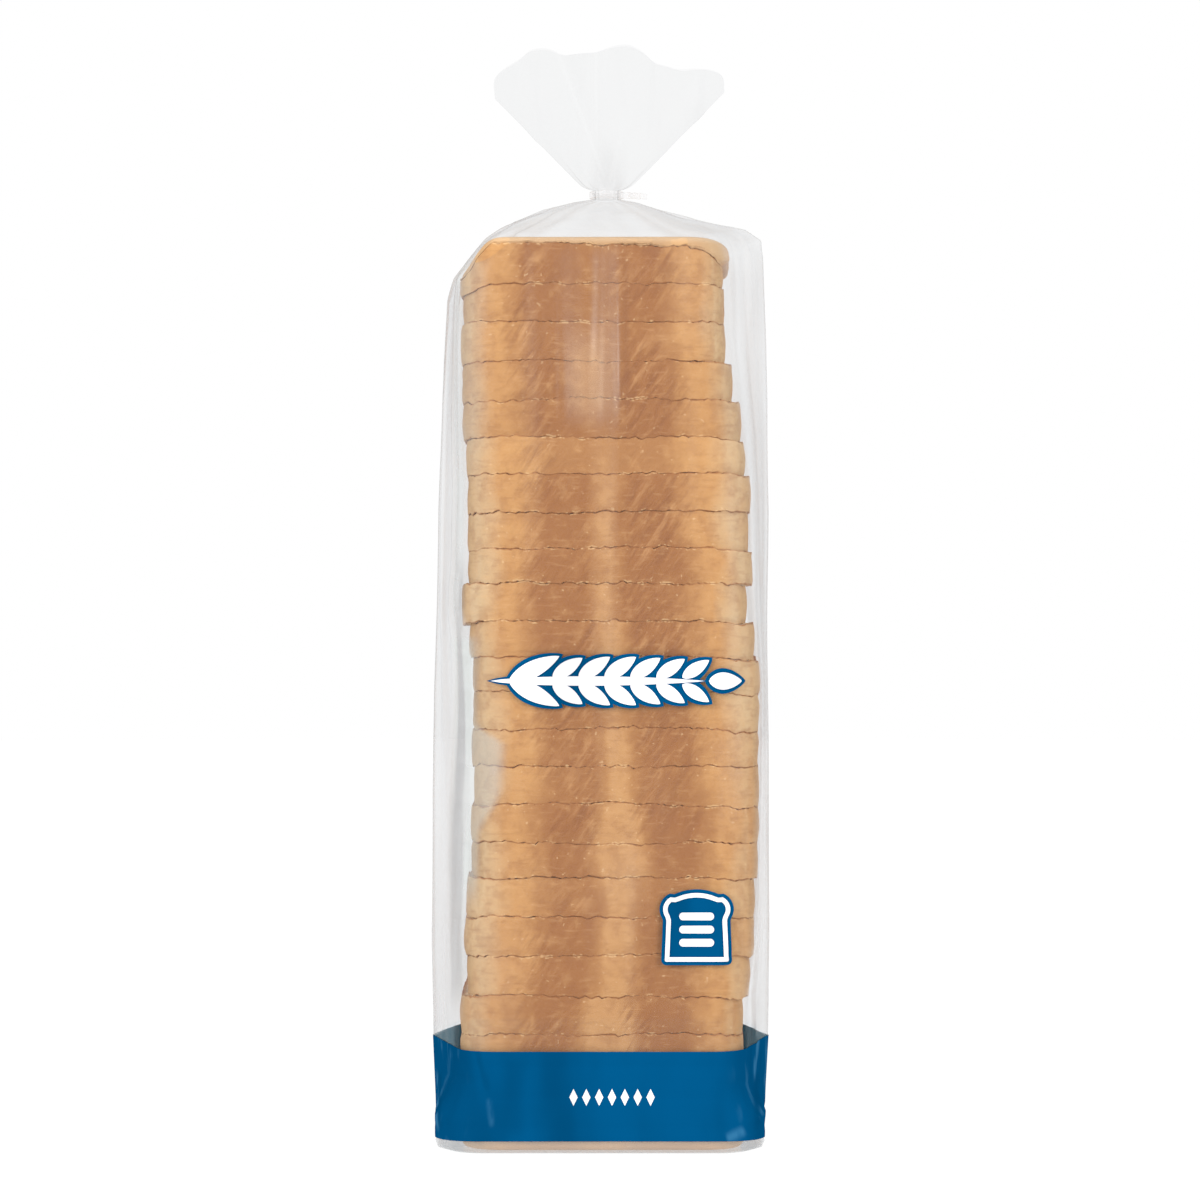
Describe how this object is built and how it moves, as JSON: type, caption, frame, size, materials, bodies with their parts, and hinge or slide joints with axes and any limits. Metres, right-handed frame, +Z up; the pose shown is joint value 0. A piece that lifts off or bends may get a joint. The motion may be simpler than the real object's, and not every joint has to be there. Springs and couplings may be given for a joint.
{
  "type": "bagged sliced bread loaf",
  "caption": "Long sliced sandwich loaf standing on end in a clear film bag with a printed foot band, its neck tied and its free end fanned out above.",
  "frame": {"origin": "centre of the base the pack stands on, at floor level", "axes": "+Z up along the loaf, +X to the right of the printed front as the picture shows it, -Y out of the printed front"},
  "size_m": [0.126, 0.106, 0.4064],
  "materials": {
    "bag": "gloss",
    "film": "gloss",
    "crust": "matte",
    "print_blue": "gloss",
    "print_white": "gloss",
    "tie": "gloss"
  },
  "bodies": {
    "root": {"bag": "bag", "tie": "tie"}
  },
  "joints": []
}
